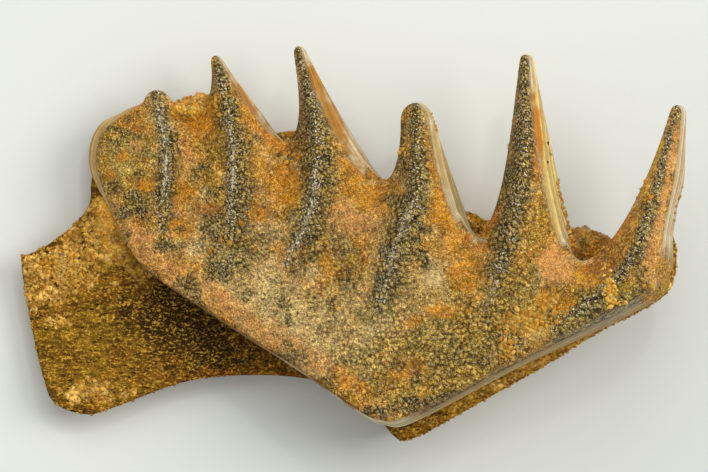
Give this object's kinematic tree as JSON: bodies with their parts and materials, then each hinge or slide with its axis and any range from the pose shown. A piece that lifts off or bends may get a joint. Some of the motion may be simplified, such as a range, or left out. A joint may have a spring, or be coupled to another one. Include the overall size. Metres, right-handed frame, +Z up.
{
  "type": "lungfish tooth plate",
  "caption": "Fossil lungfish tooth plate: a ridged, fan-shaped crown with pointed free cusps, on its thin jaw bone, lying crown up.",
  "frame": {"origin": "on the surface that the fossil lies on, below the middle of its outline", "axes": "+Z up, out of the biting face; +X along the longest way, from the heel and the bone process towards the front cusp; +Y the way that the cusps point"},
  "size_m": [0.038, 0.0226, 0.0105],
  "materials": {
    "dentine": "satin",
    "bone": "matte",
    "sandstone": "matte"
  },
  "bodies": {
    "root": {"crown_plate": "dentine", "cusp_1": "dentine", "cusp_2": "dentine", "cusp_3": "dentine", "cusp_4": "dentine", "cusp_5": "dentine", "cusp_6": "dentine", "jaw_bone": "bone", "sandstone_1_2": "sandstone", "sandstone_5_6": "sandstone", "sandstone_heel": "sandstone"}
  },
  "joints": []
}
